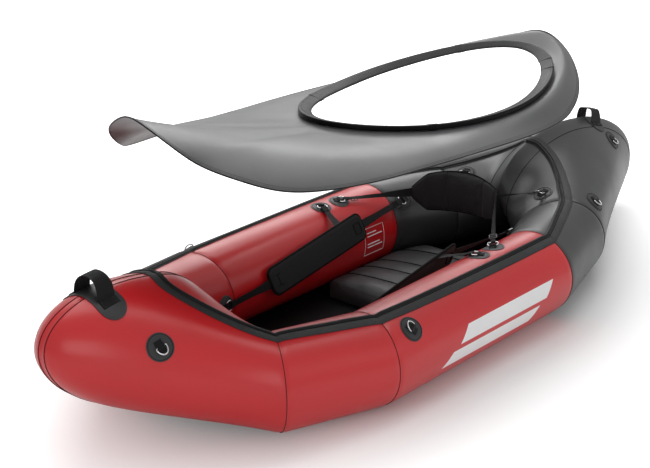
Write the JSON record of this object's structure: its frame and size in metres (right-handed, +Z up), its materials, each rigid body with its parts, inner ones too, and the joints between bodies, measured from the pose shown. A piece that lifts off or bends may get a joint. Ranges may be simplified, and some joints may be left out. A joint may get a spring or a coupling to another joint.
{
  "type": "packraft",
  "caption": "Inflatable packraft with a ring tube, fabric floor, seat mat, backrest, thigh pads, tie rings, carrying handles and a lift-off spray deck with a coaming.",
  "frame": {"origin": "centre of the bounding box at its base, where the tubes rest on level ground", "axes": "+X along the boat towards the stern, -Y port, +Z up"},
  "size_m": [2.7939, 0.9472, 0.8879],
  "materials": {
    "hull_red": "satin coated fabric",
    "hull_grey": "satin coated fabric",
    "floor_black": "satin coated fabric",
    "strip_black": "matt woven tape",
    "patch_black": "satin coated fabric",
    "patch_grey": "satin coated fabric",
    "webbing_black": "woven webbing",
    "pad_black": "padded woven fabric",
    "mat_grey": "satin coated fabric",
    "deck_grey": "satin coated fabric",
    "coaming_black": "stiffened fabric",
    "ring_steel": "polished wire",
    "valve_black": "moulded"
  },
  "bodies": {
    "hull": {"anchor_backrest_rear_port": "patch_black", "anchor_backrest_rear_starboard": "patch_black", "anchor_backrest_side_port": "patch_black", "anchor_backrest_side_starboard": "patch_black", "anchor_front_port": "patch_black", "anchor_front_starboard": "patch_black", "anchor_pad_rear_port": "patch_black", "anchor_pad_rear_starboard": "patch_black", "anchor_pad_top_port": "patch_black", "anchor_pad_top_starboard": "patch_black", "backrest": "pad_black", "backrest_strap_rear_port": "webbing_black", "backrest_strap_rear_starboard": "webbing_black", "backrest_strap_side_port": "webbing_black", "backrest_strap_side_starboard": "webbing_black", "bow_handle_patch": "patch_grey", "bow_handle_webbing": "webbing_black", "deck_strip": "strip_black", "floor_sheet": "floor_black", "hull_bow_port": "hull_red", "hull_bow_starboard": "hull_red", "hull_quarter_port": "hull_grey", "hull_quarter_starboard": "hull_grey", "hull_shoulder_port": "hull_red", "hull_shoulder_starboard": "hull_red", "hull_side_port": "hull_red", "hull_side_starboard": "hull_red", "hull_stern_port": "hull_grey", "hull_stern_starboard": "hull_grey", "seat_mat": "mat_grey", "stern_handle_patch": "patch_grey", "stern_handle_webbing": "webbing_black", "thigh_pad_port": "pad_black", "thigh_pad_starboard": "pad_black", "thigh_strap_front_port": "webbing_black", "thigh_strap_front_starboard": "webbing_black", "thigh_strap_rear_port": "webbing_black", "thigh_strap_rear_starboard": "webbing_black", "thigh_strap_top_port": "webbing_black", "thigh_strap_top_starboard": "webbing_black", "tie_patch_bow_port": "patch_black", "tie_patch_bow_starboard": "patch_black", "tie_patch_middle_port": "patch_black", "tie_patch_middle_starboard": "patch_black", "tie_patch_stern_high_port": "patch_black", "tie_patch_stern_high_starboard": "patch_black", "tie_patch_stern_low_port": "patch_black", "tie_patch_stern_low_starboard": "patch_black", "valve_body": "valve_black"},
    "deck": {"deck_skin": "deck_grey", "coaming_rim": "coaming_black"},
    "d_ring_bow_port": {"d_ring_bow_port": "ring_steel"},
    "d_ring_bow_starboard": {"d_ring_bow_starboard": "ring_steel"},
    "d_ring_middle_port": {"d_ring_middle_port": "ring_steel"},
    "d_ring_middle_starboard": {"d_ring_middle_starboard": "ring_steel"},
    "d_ring_stern_high_port": {"d_ring_stern_high_port": "ring_steel"},
    "d_ring_stern_high_starboard": {"d_ring_stern_high_starboard": "ring_steel"},
    "d_ring_stern_low_port": {"d_ring_stern_low_port": "ring_steel"},
    "d_ring_stern_low_starboard": {"d_ring_stern_low_starboard": "ring_steel"},
    "valve_cap": {"valve_cap": "valve_black"}
  },
  "joints": [
    {"name": "deck_lift", "type": "slide", "parent": "hull", "child": "deck", "axis": [0, 0, 1], "range_m": [-0.345, 0]},
    {"name": "d_ring_bow_port_swing", "type": "hinge", "parent": "hull", "child": "d_ring_bow_port", "pos_m": [-1.17055, -0.18194, 0.34907], "axis": [-0.9441, 0.1685, -0.2832], "range_deg": [-8, 150]},
    {"name": "d_ring_bow_starboard_swing", "type": "hinge", "parent": "hull", "child": "d_ring_bow_starboard", "pos_m": [-1.17055, 0.18194, 0.34907], "axis": [0.9441, 0.1685, 0.2832], "range_deg": [-8, 150]},
    {"name": "d_ring_middle_port_swing", "type": "hinge", "parent": "hull", "child": "d_ring_middle_port", "pos_m": [-0.4824, -0.4337, 0.2354], "axis": [0.8738, 0.3381, 0.3495], "range_deg": [-8, 150]},
    {"name": "d_ring_middle_starboard_swing", "type": "hinge", "parent": "hull", "child": "d_ring_middle_starboard", "pos_m": [-0.4824, 0.4337, 0.2354], "axis": [-0.8738, 0.3381, -0.3495], "range_deg": [-8, 150]},
    {"name": "d_ring_stern_high_port_swing", "type": "hinge", "parent": "hull", "child": "d_ring_stern_high_port", "pos_m": [1.12993, -0.08475, 0.30304], "axis": [-0.8594, -0.4815, -0.1719], "range_deg": [-8, 150]},
    {"name": "d_ring_stern_high_starboard_swing", "type": "hinge", "parent": "hull", "child": "d_ring_stern_high_starboard", "pos_m": [1.12993, 0.08475, 0.30304], "axis": [0.8594, -0.4815, 0.1719], "range_deg": [-8, 150]},
    {"name": "d_ring_stern_low_port_swing", "type": "hinge", "parent": "hull", "child": "d_ring_stern_low_port", "pos_m": [0.6643, -0.30341, 0.25267], "axis": [-0.9741, -0.1145, 0.1948], "range_deg": [-8, 150]},
    {"name": "d_ring_stern_low_starboard_swing", "type": "hinge", "parent": "hull", "child": "d_ring_stern_low_starboard", "pos_m": [0.6643, 0.30341, 0.25267], "axis": [0.9741, -0.1145, -0.1948], "range_deg": [-8, 150]},
    {"name": "valve_cap_turn", "type": "hinge", "parent": "hull", "child": "valve_cap", "pos_m": [0.43999, 0.41157, 0.19113], "axis": [0.2483, 0.8801, 0.4047], "range_deg": [0, 90]}
  ]
}
